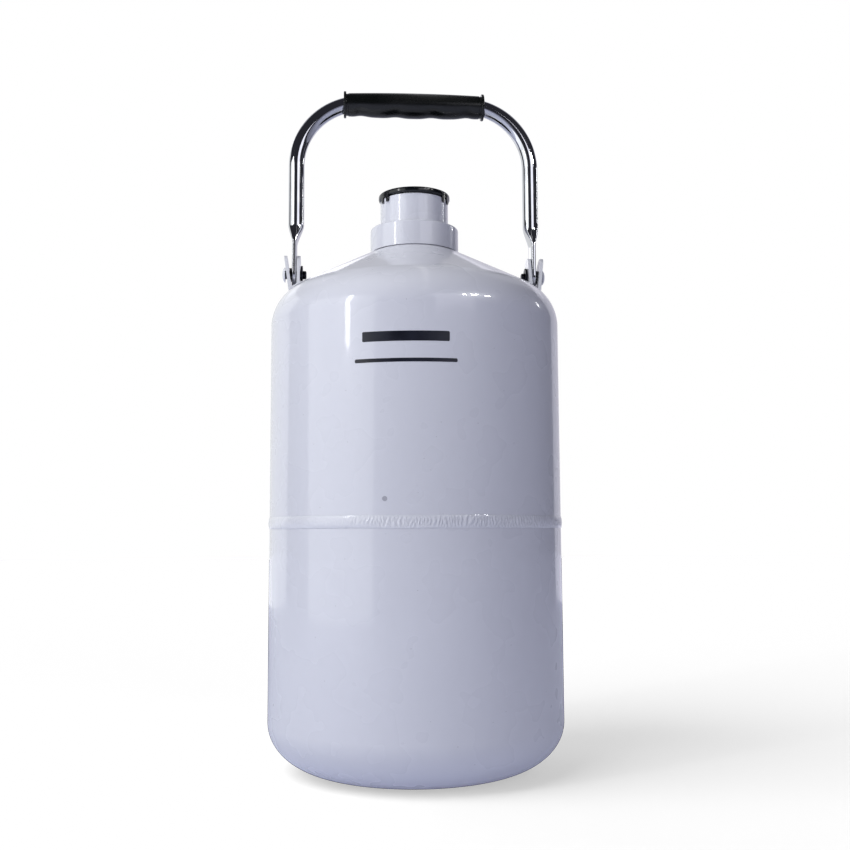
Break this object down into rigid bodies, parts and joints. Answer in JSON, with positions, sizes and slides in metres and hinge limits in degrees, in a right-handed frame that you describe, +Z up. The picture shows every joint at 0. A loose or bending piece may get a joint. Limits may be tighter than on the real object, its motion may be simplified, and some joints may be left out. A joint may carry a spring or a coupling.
{
  "type": "liquid nitrogen dewar",
  "caption": "Vacuum-insulated flask with a conical shoulder, stepped neck with an index ring, foam stopper and a chrome bail handle with a moulded grip.",
  "frame": {"origin": "on the floor plane, under the middle of the dewar's base", "axes": "+Z up along the axis of the flask; X along the handle's pivot axis; the front faces -Y and the evacuation port is at +Y"},
  "size_m": [0.207, 0.207, 0.485],
  "materials": {
    "white_paint": "glossy off-white stoved paint with a faint lavender tint",
    "black_plastic": "glossy black moulded plastic",
    "black_vinyl": "semi-gloss black moulded vinyl",
    "chrome": "bright chrome plate",
    "dark_steel": "dark zinc-plated steel",
    "black_nylon": "black nylon",
    "aluminium": "bare spun aluminium",
    "glass_fibre": "glass-fibre reinforced epoxy tube",
    "foam": "rigid pale foam",
    "foil": "crinkled metallised film and paper layers",
    "adsorbent": "cloth bag of adsorbent grains",
    "rubber": "black rubber"
  },
  "bodies": {
    "dewar": {"outer_shell_upper": "white_paint", "outer_shell_lower": "white_paint", "girth_weld": "white_paint", "neck_collar": "white_paint", "neck_sleeve": "white_paint", "neck_tube": "glass_fibre", "index_ring": "black_plastic", "inner_vessel_upper": "aluminium", "inner_vessel_lower": "aluminium", "inner_vessel_weld": "aluminium", "insulation_wrap": "foil", "adsorbent_pack": "adsorbent", "vacuum_port": "aluminium", "vacuum_plug": "rubber", "vacuum_port_cap": "black_plastic", "bracket_left": "white_paint", "bracket_right": "white_paint", "pivot_pin_left": "dark_steel", "pivot_pin_right": "dark_steel", "pivot_washer_left": "dark_steel", "pivot_washer_right": "dark_steel", "pivot_bush_left": "black_nylon", "pivot_bush_right": "black_nylon"},
    "handle": {"handle_tube": "chrome", "handle_grip": "black_vinyl"},
    "stopper": {"stopper_cap": "black_plastic", "stopper_plug": "foam"}
  },
  "joints": [
    {"name": "handle_swing", "type": "hinge", "parent": "dewar", "child": "handle", "pos_m": [0, 0, 0.34743], "axis": [1, 0, 0], "range_deg": [-95, 95]},
    {"name": "stopper_lift", "type": "slide", "parent": "dewar", "child": "stopper", "axis": [0, 0, 1], "range_m": [0, 0.05]}
  ]
}
